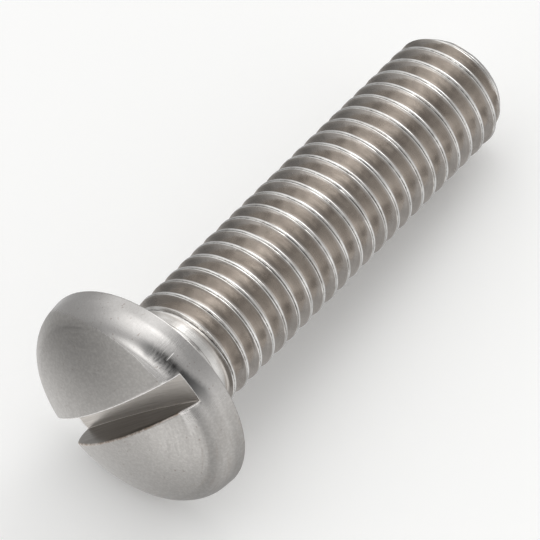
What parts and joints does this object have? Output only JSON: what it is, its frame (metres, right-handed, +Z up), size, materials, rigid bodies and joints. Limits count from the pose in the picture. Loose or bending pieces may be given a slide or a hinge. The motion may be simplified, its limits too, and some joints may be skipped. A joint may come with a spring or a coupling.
{
  "type": "slotted pan head machine screw",
  "caption": "Stainless steel pan head machine screw with a straight driver slot and a right-hand thread along the whole shank, lying on its side.",
  "frame": {"origin": "middle of the lying screw's box, at the plane it rests on", "axes": "+X from the head to the tip, +Z up; the long axis dips 6.3 degrees towards the tip, because the screw lies on the rim of its head and on a crest near the tip"},
  "size_m": [0.0222, 0.0092, 0.0092],
  "materials": {
    "steel": "satin"
  },
  "bodies": {
    "root": {"screw": "steel"}
  },
  "joints": []
}
